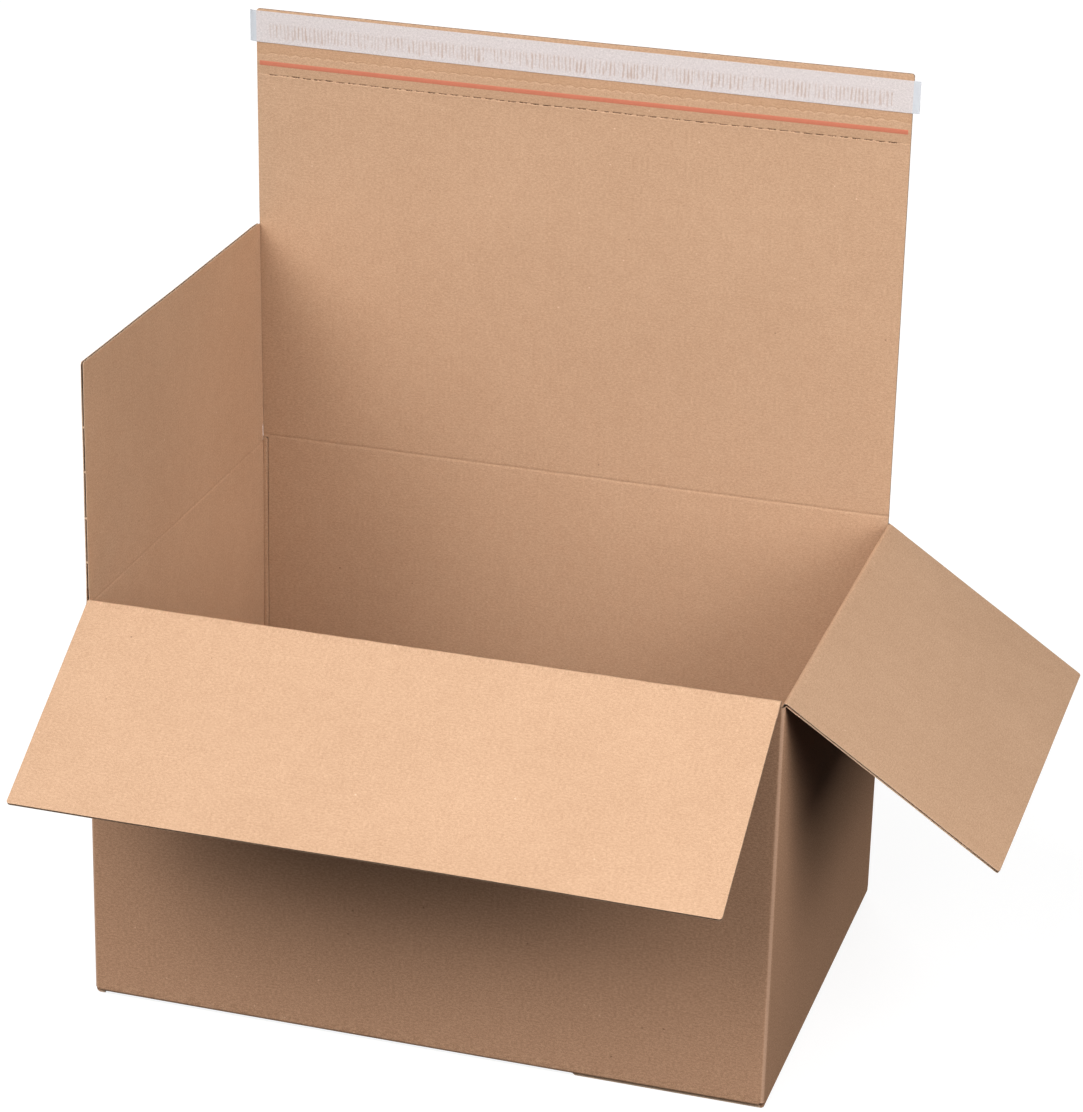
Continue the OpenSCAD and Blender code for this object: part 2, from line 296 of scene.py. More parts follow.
def flat_place(name, u, s, d):
    """Where a point lies on the flat board, for the materials."""
    u, s, d = np.broadcast_arrays(u + OFFSETS[name], s, d)
    return np.stack([u, s, d], -1)


def pressed_edge(name, u, s):
    """How far the cutting die has pressed a facing in along the free edges."""
    low, high = ENDS[name]
    inside = np.minimum(np.minimum(u - low, high - u), LENGTHS[name] - s)
    return EDGE_PRESS * bump(inside, EDGE_PRESS_W)


def facing(mesh, name, us, ss, outer, inner, kind=INNER, sink=None):
    """One facing of a flap, as a slab between two depths.

    For each point, sink gives how far it is pressed in, how far it shifts up the flap and how far it lies in
    a cut, where the material paints shade.
    """
    s, u = np.meshgrid(ss, us, indexing="ij")
    shift, follow, cut_shade = (0, 0, 0) if sink is None else sink(u, s)
    flat = flat_place(name, u, s, cut_shade)
    pressed = pressed_edge(name, u, s) * (-1 if kind == OUTER else 1)
    s = s + follow
    depth = warp(name, u, s) - shift - pressed
    round_u = corner_pull(name, u, s)
    plane = PLANES[name]
    seen, hidden = (outer, inner) if kind == OUTER else (inner, outer)
    front = plane.at(round_u, s, seen + depth)
    back = plane.at(round_u, s, hidden + depth)
    mesh.shell(front, back, flat, kind, EDGE, FLUTE)


def side_stops(low, high, step):
    """Columns across a flap, close together along its pressed side edges."""
    near = np.array([0, 0.25, 0.5, 0.9])
    return np.concatenate([low + near, spread(low + 1.5, high - 1.5, step), high - near[::-1]])


def free_edge_stops(low, length, step):
    """Rows up a flap, close together over its rounded corners."""
    corner = length - CORNER_R + CORNER_R * np.sin(np.linspace(0, math.pi / 2, 6))
    return np.concatenate([spread(low, length - CORNER_R, step)[:-1], corner])


def medium(mesh, name, low, high, s_low, s_high):
    """The fluted sheet between the facings, with its waves across the flap."""
    core = BOARD_T - 2 * FACING_T
    swing = (core - MEDIUM_T) / 2
    inset = 0.25
    us = spread(low + inset, high - inset, FLUTE_PITCH / 10)
    ss = spread(s_low, s_high - 0.15, 24)
    s, u = np.meshgrid(ss, us, indexing="ij")
    wave = np.sin(2 * math.pi * u / FLUTE_PITCH + 0.15 * np.sin(u / 17))
    middle = BOARD_T / 2 + swing * wave + warp(name, u, s)
    pulled = corner_pull(name, u, s)
    plane = PLANES[name]
    front = plane.at(pulled, s, middle + MEDIUM_T / 2)
    back = plane.at(pulled, s, middle - MEDIUM_T / 2)
    mesh.shell(front, back, flat_place(name, u, s, 0), FLUTE, EDGE)


def nicks(mesh, name):
    """The small paper bridges that held the flap in its sheet, torn off along its front edge."""
    low = ENDS[name][0]
    plane = PLANES[name]
    for middle in NICKS:
        rows = [middle - 0.4, middle, middle + 0.4]
        columns = [low - 0.1, low + 0.3, low + 0.7]
        s, u = np.meshgrid(rows, columns, indexing="ij")
        depth = warp(name, u, s)
        front = plane.at(u, s, depth + BOARD_T - FACING_T / 2)
        back = plane.at(u, s, depth + FACING_T / 2)
        mesh.shell(front, back, flat_place(name, u, s, 0), EDGE, EDGE)


def flap_panel(name, materials, cell=4.5):
    """A flap's board above its crease band: two facings and the fluted sheet between them."""
    mesh = Mesh()
    low, high = ENDS[name]
    us = side_stops(low, high, cell)
    ss = free_edge_stops(FOLD_BAND, LENGTHS[name], cell)
    facing(mesh, name, us, ss, BOARD_T - FACING_T, BOARD_T)
    facing(mesh, name, us, ss, 0, FACING_T, OUTER)
    medium(mesh, name, low, high, FOLD_BAND, LENGTHS[name])
    if name == "left_flap":
        nicks(mesh, name)
    piece = mesh.build(name + "_panel", materials)
    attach(piece, name)
    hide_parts(name)


# The lid's perforations

def perforation_columns():
    """Columns across the lid that follow every cut of both perforations."""
    low, high = LID_ENDS
    cuts = int((high - low - PERF_PITCH) / PERF_PITCH)
    middle = (low + high) / 2
    half = PERF_CUT / 2
    within = np.array([-PERF_PITCH / 2, -half - 0.12, -half, -half * 0.78, -half * 0.52, -half * 0.26, 0,
                       half * 0.26, half * 0.52, half * 0.78, half, half + 0.12])
    starts = middle + (np.arange(cuts) - (cuts - 1) / 2) * PERF_PITCH
    inner = (starts[:, None] + within).ravel()
    edges = np.concatenate([[low, low + 0.25, low + 0.5, low + 1.2], inner,
                            [high - 1.2, high - 0.5, high - 0.25, high]])
    return np.unique(np.round(edges, 4)), starts


def perforation_sink(starts):
    """A sink for the lid: pressed in at the cuts, with the rows of the mesh bent to follow the scallops."""
    half = PERF_CUT / 2
    wander = RNG.uniform(-0.15, 0.15, len(starts))
    depth_of = RNG.uniform(0.6, 1.0, len(starts))
    scallop_s = LID_LEN - SCALLOP_LINE
    dash_s = LID_LEN - DASH_LINE

    def sink(u, s):
        near = np.abs(u[..., None] - starts).argmin(-1)
        off = u - starts[near]
        cut = np.abs(off) <= half + 0.01
        arch = np.clip(1 - (2 * off / PERF_PITCH) ** 2, 0, 1)
        above_dashes = smooth_step(s, dash_s - 4, dash_s - 1.5)
        below_liner = 1 - smooth_step(s, scallop_s + 2, scallop_s + 5)
        scalloped = SCALLOP_RISE * (arch - 0.5) * bump(s - scallop_s, 1.8)
        askew = u * BAND_SKEW * above_dashes * below_liner
        wandered = (wander[near] - 0.3 * arch) * bump(s - dash_s, 1.5)
        torn = depth_of[near] * cut
        scallop = 0.1 * bump(s - scallop_s, 0.25) * (0.5 + 0.5 * arch)
        dash = 0.3 * torn * bump(s - dash_s, 0.25)
        lift = 0.09 * bump(s - dash_s + 0.7, 0.35) + 0.03 * bump(s - scallop_s + 0.7, 0.45)
        # The third value marks the dashed cuts, which the lid's material darkens as painted shade.
        return scallop + dash - lift, scalloped - askew + wandered, torn * bump(s - dash_s, 0.3)
    return sink


def lid_panel(materials):
    """The lid: as the other flaps, with two perforations pressed in its inner facing."""
    mesh = Mesh()
    name = "lid"
    low, high = LID_ENDS
    scallop_s = LID_LEN - SCALLOP_LINE
    dash_s = LID_LEN - DASH_LINE
    band_low = dash_s - 4
    coarse = side_stops(low, high, 4.5)
    facing(mesh, name, coarse, spread(FOLD_BAND, band_low, 4.5), BOARD_T - FACING_T, BOARD_T)
    columns, starts = perforation_columns()
    fine = np.array([-1.5, -0.9, -0.5, -0.25, -0.1, 0.1, 0.25, 0.5, 0.9, 1.5])
    rows = np.concatenate([
        [band_low], dash_s + fine, spread(dash_s + 3, scallop_s - 3, 3),
        scallop_s + fine, free_edge_stops(scallop_s + 3, LID_LEN, 5),
    ])
    facing(mesh, name, columns, rows, BOARD_T - FACING_T, BOARD_T, sink=perforation_sink(starts))
    facing(mesh, name, coarse, free_edge_stops(FOLD_BAND, LID_LEN, 4.5), 0, FACING_T, OUTER)
    medium(mesh, name, low, high, FOLD_BAND, LID_LEN)
    piece = mesh.build("lid_panel", materials)
    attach(piece, "lid")
    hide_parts("lid")


# The creases of the top flaps

WALL_INWARD = {"lid": (0, -1, 0), "front_flap": (0, 1, 0), "left_flap": (1, 0, 0), "right_flap": (-1, 0, 0)}


def crease_paths(fold, drop):
    """Both facings of a crease in (inward, up), each as the path of its outer side and of its inner side."""
    angle = math.radians(fold)
    wall = spread(-drop, -2.4, 1.9)
    rise = spread(2.4, FOLD_BAND, 1.9)
    if abs(fold) < 10:
        near = np.linspace(-2.4, 2.4, 25)
        arms = np.concatenate([wall[:-1], near, rise[1:]])
        groove = 0.17 * bump(arms, 0.8)
        bead = 0.22 * bump(arms, 0.9)
        lean = np.where(arms > 0, arms, 0)
        bend = lean * math.sin(angle)
        height = np.where(arms > 0, arms * math.cos(angle), arms)
        inner_top = np.stack([BOARD_T - groove - bend, height], 1)
        inner_low = inner_top - [FACING_T, 0]
        outer_low = np.stack([-bead - bend, height], 1)
        outer_top = outer_low + [FACING_T, 0]
        return [(arms, inner_top, inner_low), (arms, outer_top, outer_low)]
    out = np.array([-math.sin(angle), math.cos(angle)])
    face = np.array([math.cos(angle), math.sin(angle)])
    turn = np.linspace(0, angle, 15)
    radius = BOARD_T * (1 - 0.07 * np.sin(math.pi * turn / angle))

    def inner(depth):
        upright = [(BOARD_T - depth, q) for q in wall]
        arc = [((r - depth) * math.cos(t), (r - depth) * math.sin(t)) for r, t in zip(radius, turn)]
        run = [tuple((BOARD_T - depth) * face + q * out) for q in rise]
        return np.array(upright + arc + run)

    def outer(depth):
        upright = [(depth, q) for q in wall] + [(depth, -0.9)]
        pinch = [(depth * 0.8 - 0.03, -0.35 + depth), tuple(depth * face * 0.8 + (0.35 - depth) * out)]
        run = [tuple(depth * face + 0.9 * out)] + [tuple(depth * face + q * out) for q in rise]
        return np.array(upright + pinch + run)

    inner_arms = np.concatenate([wall, (turn / angle - 0.5) * 3.3, rise])
    outer_arms = np.concatenate([wall, [-0.9, -0.3, 0.3, 0.9], rise])
    return [(inner_arms, inner(0), inner(FACING_T)), (outer_arms, outer(FACING_T), outer(0))]


def crease(name, materials):
    """The soft crease between a wall and its flap."""
    mesh = Mesh()
    plane = PLANES[name]
    low, high = ENDS[name]
    us = spread(low, high, 3)
    wall_in = np.array(WALL_INWARD[name], float)
    up = np.array([0, 0, 1.0])
    paths = crease_paths(FOLDS[name], plane.origin[2] - WALL_HIGH)
    for kind, (arms, front, back) in zip((INNER, OUTER), paths):
        s, u = np.meshgrid(arms, us, indexing="ij")
        wobble = 0.06 * np.sin(u / 6.3) + 0.05 * np.sin(u / 2.7 + 1)
        near = bump(s, 2.0)
        pulled = corner_pull(name, u, s)

        def place(path):
            p = path[:, 0][:, None] + 0 * u
            q = path[:, 1][:, None] + wobble * near
            return plane.origin + pulled[..., None] * plane.along + p[..., None] * wall_in + q[..., None] * up
        mesh.shell(place(front), place(back), flat_place(name, u, s, 0), kind)
    piece = mesh.build(name + "_crease", materials)
    toward = plane.up + up
    toward = toward / np.linalg.norm(toward)
    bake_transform(piece)


# The walls

def wall_path(step):
    """Stations along the walls seen from above, from the glue flap's free edge to the back wall's raw edge.

    Each has its outer point, its inward direction and its distance along the board.
    """
    place = np.array([-HALF_W + GLUE_FLAP_W, HALF_D + BOARD_T])
    runs = [GLUE_FLAP_W - FOLD_R, 2 * HALF_D + BOARD_T - 2 * FOLD_R, 2 * (HALF_W - FOLD_R),
            2 * (HALF_D - FOLD_R), 2 * HALF_W - FOLD_R - RAW_EDGE_INSET]
    heading = math.pi
    points, inwards, lengths = [], [], []
    along = 0
    for i, run in enumerate(runs):
        ahead = np.array([math.cos(heading), math.sin(heading)])
        inward = np.array([-ahead[1], ahead[0]])
        for x in spread(0, run, step):
            points.append(place + x * ahead)
            inwards.append(inward)
            lengths.append(along + x)
        place = place + run * ahead
        along += run
        if i < len(runs) - 1:
            centre = place + FOLD_R * inward
            for turn in np.linspace(0, math.pi / 2, 7)[1:-1]:
                c, s = math.cos(turn), math.sin(turn)
                now = np.array([inward[0] * c - inward[1] * s, inward[0] * s + inward[1] * c])
                points.append(centre - FOLD_R * now)
                inwards.append(now)
                lengths.append(along + FOLD_R * turn)
            heading += math.pi / 2
            ahead_next = np.array([math.cos(heading), math.sin(heading)])
            place = centre - FOLD_R * np.array([-ahead_next[1], ahead_next[0]])
            along += FOLD_R * math.pi / 2
    return np.array(points), np.array(inwards), np.array(lengths)


def wall_bow(points, z):
    """A slight bow of the wide wall faces, none near the edges of each wall."""
    x, y = points[:, 0][None, :], points[:, 1][None, :]
    edge_x = smooth_step(HALF_W - np.abs(x), 4, 60)
    edge_y = smooth_step(HALF_D - np.abs(y), 4, 60)
    broad = np.maximum(edge_x * (np.abs(y) > HALF_D - 3), edge_y * (np.abs(x) > HALF_W - 3))
    rise = smooth_step(z, WALL_LOW, 60) * smooth_step(WALL_HIGH - z, 0, 45)
    return -0.35 * broad * rise * (1 + 0.4 * np.sin(x / 47 + y / 39 + z / 61))


def wall_facing(mesh, points, inwards, lengths, z_low, z_high, rows, depth_low, depth_high, bow=True):
    """One facing of the walls along a run of stations, as a slab between two depths."""
    share = np.linspace(0, 1, rows)[:, None]
    z = z_low[None, :] * (1 - share) + z_high[None, :] * share
    shift = wall_bow(points, z) if bow else 0 * z

    def place(depth):
        d = depth + shift
        xy = points[None] + d[..., None] * inwards[None]
        return np.concatenate([xy, z[..., None]], -1)
    flat = np.stack([np.broadcast_to(lengths + OFFSETS["walls"], z.shape), z, 0 * z], -1)
    if depth_low == 0:
        mesh.shell(place(depth_low), place(depth_high), flat, OUTER, EDGE, FLUTE)
    else:
        mesh.shell(place(depth_high), place(depth_low), flat, INNER, EDGE, FLUTE)


def wall_medium(mesh, start, end, inward, z_low, z_high, phase=0.0):
    """Flutes standing in a flat stretch of wall, open at its top edge."""
    core = BOARD_T - 2 * FACING_T
    swing = (core - MEDIUM_T) / 2
    start, end, inward = (np.array(v, float) for v in (start, end, inward))
    run = np.linalg.norm(end - start)
    ahead = (end - start) / run
    u = spread(0, run, FLUTE_PITCH / 10)
    wave = BOARD_T / 2 + swing * np.sin(2 * math.pi * u / FLUTE_PITCH + phase)
    z = np.array([z_low, z_high])

    def place(d):
        xy = start + u[:, None] * ahead + d[:, None] * inward
        return np.stack([np.concatenate([xy, np.full((len(u), 1), h)], 1) for h in z])
    shape = (2, len(u))
    flat = np.stack([np.broadcast_to(u, shape), np.broadcast_to(z[:, None], shape), np.zeros(shape)], -1)
    mesh.shell(place(wave + MEDIUM_T / 2), place(wave - MEDIUM_T / 2), flat, FLUTE, FLUTE)


def corner_lining(mesh):
    """The inner facing bulged up in the glued corner, between the left wall and the back wall's raw edge."""
    path = np.array([
        (0.02, -1.6), (0.12, -1.35), (0.35, -1.55), (0.9, -1.6), (1.6, -1.55), (2.3, -1.45), (2.75, -1.2),
    ])
    path = path + [BOARD_T - HALF_W, HALF_D]
    share = np.linspace(0, 1, 40)[:, None]
    top = CORNER_TOP - 0.3 - 1.8 * np.linspace(0, 1, len(path)) ** 3
    z = WALL_LOW * (1 - share) + top[None, :] * share
    swell = 0.12 * np.sin(z / 23) + 0.06 * np.sin(z / 7.1)
    outer = np.stack([np.broadcast_to(path[:, 0], z.shape), path[:, 1] + swell, z], -1)
    behind = outer + [-0.05, 0.2, 0]
    flat = np.stack([np.broadcast_to(np.linspace(0, 3.5, len(path)), z.shape), z, 0 * z], -1)
    mesh.shell(outer, behind, flat)


def walls(materials):
    """The ring of walls with its glue flap, up to the crease bands, and the corner tops between the flaps."""
    mesh = Mesh()
    points, inwards, lengths = wall_path(6)
    glue_end = GLUE_FLAP_W - FOLD_R
    taper = GLUE_FLAP_TAPER * np.clip(1 - lengths / glue_end, 0, 1)
    low = np.maximum(WALL_LOW, RING_Z + taper)
    high = np.full(len(lengths), WALL_HIGH)
    for depths in ((0, FACING_T), (BOARD_T - FACING_T, BOARD_T)):
        wall_facing(mesh, points, inwards, lengths, low, high, 26, *depths)
    x, y = points[:, 0], points[:, 1]
    flat_x = HALF_W - FOLD_R
    corner_tops = [
        (x < -flat_x + GLUE_FLAP_W) & (y > LEFT_CREASE_END) & (lengths < 2 * HALF_D),
        (x <= -flat_x + 0.01) & (y < SIDE_ENDS[0] + 0.3),
        (x >= flat_x - 0.01) & (y < SIDE_ENDS[0] + 0.3),
        (x >= flat_x - 0.01) & (y > SIDE_ENDS[1]),
    ]
    fine_points, fine_inwards, fine_lengths = wall_path(1.5)
    for keep in corner_tops:
        first, last = lengths[keep].min(), lengths[keep].max()
        pick = (fine_lengths >= first - 0.01) & (fine_lengths <= last + 0.01)
        stations = fine_points[pick], fine_inwards[pick], fine_lengths[pick]
        place, _, along = stations
        base = np.full(len(along), WALL_HIGH)
        top = SIDE_TOP - GLUE_FLAP_TAPER * np.clip(1 - along / glue_end, 0, 1)
        glued_corner = (place[:, 0] < RAW_EDGE_INSET - HALF_W + 2) * (place[:, 1] > HALF_D - 3)
        lining_top = top + (CORNER_TOP - SIDE_TOP) * glued_corner
        wall_facing(mesh, *stations, base, top, 5, 0, FACING_T, bow=False)
        wall_facing(mesh, *stations, base, lining_top, 5, BOARD_T - FACING_T, BOARD_T, bow=False)
    corner_lining(mesh)
    for side in (-1, 1):
        wall_medium(mesh, (side * HALF_W, SIDE_ENDS[1]), (side * HALF_W, HALF_D - FOLD_R), (-side, 0),
                    WALL_HIGH, SIDE_TOP - 0.1, 0.6 + side)
    piece = mesh.build("walls", materials)
    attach(piece, "carton")
    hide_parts("carton_body")


def bottom(materials):
    """The self-locking bottom, cut off the frame's own body below the plain walls."""
    mesh = frame["nodes"]["carton_body"].data.copy()
    mesh.name = "bottom"
    mesh.materials.clear()
    for material in materials:
        mesh.materials.append(material)
    work = bmesh.new()
    work.from_mesh(mesh)
    bmesh.ops.remove_doubles(work, verts=work.verts, dist=1e-6)
    every = list(work.verts) + list(work.edges) + list(work.faces)
    cut = bmesh.ops.bisect_plane(
        work, geom=every, plane_co=(0, 0, WALL_LOW * MM), plane_no=(0, 0, 1), clear_outer=True,
    )
    rim = [g for g in cut["geom_cut"] if isinstance(g, bmesh.types.BMEdge)]
    bmesh.ops.triangle_fill(work, edges=rim, use_beauty=True)
    for face in work.faces:
        face.material_index = bottom_kind(face)
    work.to_mesh(mesh)
    work.free()
    places = np.array([v.co for v in mesh.vertices]) / MM
    mark_places(mesh, "rest", places)
    mark_places(mesh, "board", places)
    finish_mesh(mesh)
    piece = bpy.data.objects.new("bottom", mesh)
    bpy.context.scene.collection.objects.link(piece)
    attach(piece, "carton")


def bottom_kind(face):
    """The outside of the ring and the undersides are outer facing, and low upright faces are cut edges."""
    middle = face.calc_center_median() / MM
    heights = [v.co.z / MM for v in face.verts]
    upright = abs(face.normal.z) < 0.5
    outward = face.normal.x * middle.x + face.normal.y * middle.y > 0
    on_ring = abs(middle.x) > HALF_W - FOLD_R or abs(middle.y) > HALF_D - FOLD_R
    if upright and on_ring and outward:
        return OUTER
    if upright and max(heights) - min(heights) < BOARD_T * 1.2:
        return EDGE
    return OUTER if face.normal.z < -0.5 else INNER


# The self-seal strip

def tear_thread(material):
    """The tear tape, a little domed and laid askew with the bands."""
    mesh = Mesh()
    middle = LID_LEN - THREAD_MID
    rows = spread(middle - THREAD_W / 2, middle + THREAD_W / 2, THREAD_W / 6)
    columns = spread(LID_ENDS[0] + 1.5, LID_ENDS[1] - 1.5, 3)
    s, u = np.meshgrid(rows, columns, indexing="ij")
    across = (s - middle) / (THREAD_W / 2)
    s = s - u * BAND_SKEW
    lift = 0.09 * (1 - 0.8 * across ** 4)
    base = BOARD_T + warp("lid", u, s)
    place = PLANES["lid"].at
    mesh.shell(place(u, s, base + lift), place(u, s, base + 0.005), flat_place("lid", u, s, 0), ONLY, ONLY)
    piece = mesh.build("tear_tape", [material])
    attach(piece, "lid")
    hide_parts("tear_thread")


def liner_s(u):
    """The middle of the release liner, which is laid a little askew."""
    return LID_LEN - LINER_MID - u * LINER_SKEW


def adhesive(material):
    """Upright strokes of hot-melt adhesive under the liner."""
    mesh = Mesh()
    u = LID_ENDS[0] + 9
    while u < LID_ENDS[1] - 9.5:
        half = RNG.uniform(0.35, 0.75)
        low = RNG.uniform(-4.9, -3.3)
        high = low + RNG.uniform(5, 9)
        ss = np.linspace(low, min(high, 4.2), 7)
        us = np.array([-1, -0.5, 0, 0.5, 1])
        s, x = np.meshgrid(ss, us, indexing="ij")
        taper = np.sin(np.linspace(0.25, math.pi - 0.25, 7))[:, None]
        uu = u + x * half * taper
        s = s + liner_s(uu)
        base = BOARD_T + warp("lid", uu, s)
        lift = 0.13 * (1 - 0.6 * x ** 2) * taper
        place = PLANES["lid"].at
        flat = flat_place("lid", uu, s, 0)
        mesh.shell(place(uu, s, base + lift), place(uu, s, base + 0.004), flat, ONLY, ONLY)
        u += RNG.uniform(2.6, 4.2)
    piece = mesh.build("adhesive_strokes", [material])
    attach(piece, "lid")
    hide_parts("adhesive_strip")


def liner_shell(mesh, u_low, u_high, step):
    """A stretch of the liner, with faint ribs over the adhesive. Past the lid's sides it droops."""
    ss, us = np.linspace(-1, 1, 15), spread(u_low, u_high, step)
    x, u = np.meshgrid(ss, us, indexing="ij")
    s = liner_s(u) + x * LINER_W / 2
    over_left = np.clip(LID_ENDS[0] - u, 0, None)
    over_right = np.clip(u - LID_ENDS[1], 0, None)
    lip = 0.03 * np.sin(u / 4.1) * bump(np.abs(x) - 1, 0.25)
    curl = -0.10 * over_left ** 1.5 - 0.05 * over_right ** 1.5
    ribs = 0.02 * np.sin(2 * math.pi * u / 3.4 + 1.4 * np.sin(u / 21)) * bump(x + 0.1, 0.5)
    height = BOARD_T + 0.17 + warp("lid", u, s) + lip + ribs + curl
    place = PLANES["lid"].at
    flat = flat_place("lid", u, x * LINER_W / 2, 0)
    mesh.shell(place(u, s, height + 0.09), place(u, s, height), flat, ONLY, ONLY)


def release_liner(material, end_material):
    """The liner. Its left end, past the lid's left side, is a piece of its own."""
    mesh = Mesh()
    liner_shell(mesh, LID_ENDS[0], LID_ENDS[1] + LINER_OVER, 1.5)
    piece = mesh.build("liner_film", [material])
    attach(piece, "lid")
    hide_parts("release_liner")
    end = Mesh()
    liner_shell(end, LID_ENDS[0] - LINER_OVER, LID_ENDS[0], 0.4)
    tip = end.build("liner_left_end", [end_material])
    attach(tip, "lid")
    anchor = PLANES["lid"].at(LID_ENDS[0], liner_s(LID_ENDS[0]), BOARD_T) * MM
    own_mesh(tip)


# Materials

class Nodes:
    """Short calls for building a material's nodes."""

    def __init__(self, name):
        self.material = bpy.data.materials.new(name)
        self.material.use_nodes = True
        self.tree = self.material.node_tree
        self.shader = self.tree.nodes["Principled BSDF"]

    def node(self, kind, **values):
        made = self.tree.nodes.new(kind)
        for key, value in values.items():
            setattr(made, key, value)
        return made

    def link(self, source, target):
        self.tree.links.new(source, target)

    def put(self, socket, value):
        if isinstance(value, bpy.types.NodeSocket):
            self.link(value, socket)
        else:
            socket.default_value = value

    def math(self, operation, a, b=0.0, c=0.0, clamp=False):
        made = self.node("ShaderNodeMath", operation=operation, use_clamp=clamp)
        for socket, value in zip(made.inputs, (a, b, c)):
            self.put(socket, value)
        return made.outputs[0]

    def vector_math(self, operation, a, b):
        made = self.node("ShaderNodeVectorMath", operation=operation)
        self.put(made.inputs[0], a)
        self.put(made.inputs[1], b)
        return made.outputs[0]

    def mix(self, factor, a, b, blend="MIX"):
        made = self.node("ShaderNodeMix", data_type="RGBA", blend_type=blend)
        self.put(made.inputs[0], factor)
        self.put(made.inputs[6], a)
        self.put(made.inputs[7], b)
        return made.outputs[2]

    def noise(self, place, scale, detail=2.0, rough=0.5):
        made = self.node("ShaderNodeTexNoise")
        self.put(made.inputs["Vector"], place)
        made.inputs["Scale"].default_value = scale
        made.inputs["Detail"].default_value = detail
        made.inputs["Roughness"].default_value = rough
        return made.outputs["Fac"]

    def specks(self, place, scale, size, share):
        """1 inside small spots, of which only a share of the cells has one."""
        made = self.node("ShaderNodeTexVoronoi")
        self.put(made.inputs["Vector"], place)
        made.inputs["Scale"].default_value = scale
        red = self.node("ShaderNodeSeparateColor")
        self.link(made.outputs["Color"], red.inputs[0])
        chosen = self.math("LESS_THAN", red.outputs[0], share)
        reach = self.math("MULTIPLY_ADD", red.outputs[1], size * scale * 0.7, size * scale * 0.5)
        inside = self.math("LESS_THAN", made.outputs["Distance"], reach)
        return self.math("MULTIPLY", chosen, inside)

    def ramp(self, value, low, high, out_low=0.0, out_high=1.0):
        made = self.node("ShaderNodeMapRange", interpolation_type="SMOOTHSTEP")
        self.put(made.inputs[0], value)
        for socket, number in zip(list(made.inputs)[1:5], (low, high, out_low, out_high)):
            socket.default_value = number
        return made.outputs[0]

    def place(self, name="board"):
        return self.node("ShaderNodeAttribute", attribute_name=name).outputs["Vector"]

    def bump(self, height, distance, strength=1.0):
        made = self.node("ShaderNodeBump")
        made.inputs["Strength"].default_value = strength
        made.inputs["Distance"].default_value = distance
        self.link(height, made.inputs["Height"])
        self.link(made.outputs[0], self.shader.inputs["Normal"])


KRAFT_DARK = (0.43, 0.275, 0.176, 1)
KRAFT_LIGHT = (0.62, 0.428, 0.297, 1)
# The outside is tinted darker and redder than the inside: partly its own paper, partly painted shade of the
# outer walls under the flaps.
OUTER_PAPER_AND_SHADE_TINT = (0.89, 0.82, 0.79, 1)


def painted_corner_highlight(n, rest):
    """1 along the rounded upright corners of the walls, where a pale line is painted as the highlight that
    the rounded corners catch.
    """
    split = n.node("ShaderNodeSeparateXYZ")
    n.link(rest, split.inputs[0])
    x, y = (n.math("ABSOLUTE", split.outputs[i]) for i in (0, 1))
    reach = HALF_W + HALF_D - FOLD_R
    corner = n.ramp(n.math("ADD", x, y), reach + 0.35, reach + 0.8)
    return n.math("MULTIPLY", corner, n.ramp(split.outputs[2], SIDE_TOP - 1, SIDE_TOP + 1, 1, 0))


def kraft_facing(name, bands=False, wear_and_highlight=False, tint=(1, 1, 1, 1), coarse=1.1):
    """Brown kraft facing: soft clouds, fibres, fine grain, dark and light specks, a hint of the flutes."""
    n = Nodes(name)
    place, rest = n.place(), n.place("rest")
    split = n.node("ShaderNodeSeparateXYZ")
    n.link(place, split.inputs[0])
    u, s = split.outputs[0], split.outputs[1]
    clouds = n.noise(rest, 0.018, 3)
    blotches = n.noise(rest, 0.16, 3, 0.6)
    fibre_place = n.vector_math("MULTIPLY", place, (0.6, 1.0, 1.0))
    fibres = n.noise(fibre_place, 1.1, 3, 0.7)
    grain = n.noise(place, 2.4, 2, 0.8)
    wave = n.math("SINE", n.math("MULTIPLY", u, 2 * math.pi / FLUTE_PITCH))
    tone = 0.5
    for source, amount in ((clouds, 0.25), (blotches, 0.3), (fibres, 1.4 * coarse), (grain, 1.9 * coarse)):
        tone = n.math("ADD", tone, n.math("MULTIPLY_ADD", source, amount, -0.5 * amount))
    tone = n.math("MULTIPLY_ADD", wave, 0.01, tone, clamp=True)
    colour = n.mix(tone, KRAFT_DARK, KRAFT_LIGHT)
    if bands:
        colour = lid_bands(n, s, split.outputs[2], colour)
    if wear_and_highlight:
        # Painted highlight: the rounded upright corners of the outer walls are mixed toward pale tan, as if
        # they catch the light.
        colour = n.mix(n.math("MULTIPLY", painted_corner_highlight(n, rest), 0.5), colour, (0.74, 0.55, 0.42, 1))
    dark = n.specks(rest, 0.075, 0.42, 0.5)
    colour = n.mix(n.math("MULTIPLY", dark, 0.5), colour, (0.16, 0.085, 0.045, 1))
    pale = n.specks(n.vector_math("ADD", rest, (37.0, 11.0, 5.0)), 0.11, 0.4, 0.4)
    colour = n.mix(n.math("MULTIPLY", pale, 0.4), colour, (0.86, 0.68, 0.52, 1))
    # The tint multiplies the colour; on the outside it partly paints the shade of the walls.
    colour = n.mix(1.0, colour, tint, "MULTIPLY")
    n.link(colour, n.shader.inputs["Base Color"])
    rough = n.math("MULTIPLY_ADD", fibres, 0.16, 0.74)
    n.link(rough, n.shader.inputs["Roughness"])
    n.shader.inputs["Specular IOR Level"].default_value = 0.22
    height = n.math("MULTIPLY_ADD", fibres, 0.5, n.math("MULTIPLY", grain, 0.35))
    height = n.math("MULTIPLY_ADD", wave, 0.16, height)
    n.bump(height, 0.00006, 0.55)
    return n.material


